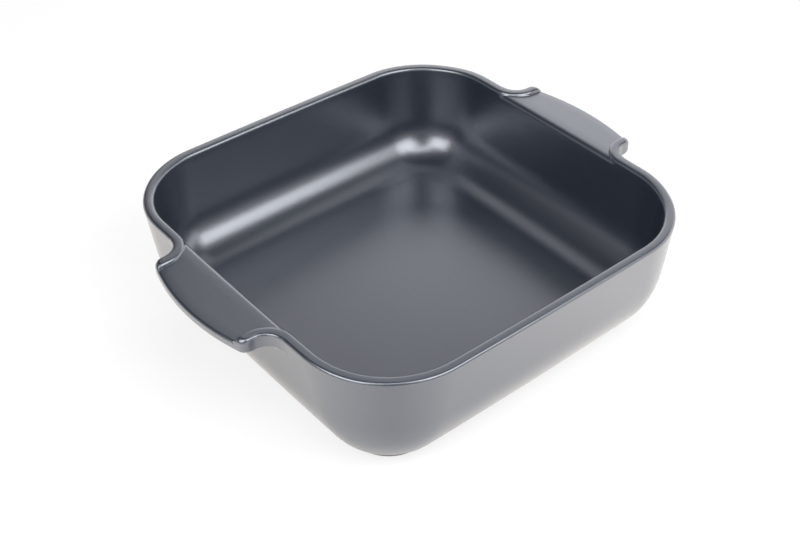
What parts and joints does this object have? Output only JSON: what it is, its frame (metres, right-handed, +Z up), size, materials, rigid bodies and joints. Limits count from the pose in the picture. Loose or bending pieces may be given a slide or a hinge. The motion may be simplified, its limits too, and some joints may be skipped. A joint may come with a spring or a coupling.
{
  "type": "square baking dish",
  "caption": "Square stoneware oven dish with rounded corners, deep leaning walls, lug handles that grow out of the rim, and a low foot ring.",
  "frame": {"origin": "on the table, under the middle of the dish", "axes": "+X from the left handle to the right handle, +Z up out of the dish"},
  "size_m": [0.3334, 0.282, 0.0845],
  "materials": {
    "slate_glaze": "satin",
    "bare_stoneware": "matte"
  },
  "bodies": {
    "root": {"basin": "slate_glaze", "left_handle": "slate_glaze", "right_handle": "slate_glaze", "foot_ring": "bare_stoneware"}
  },
  "joints": []
}
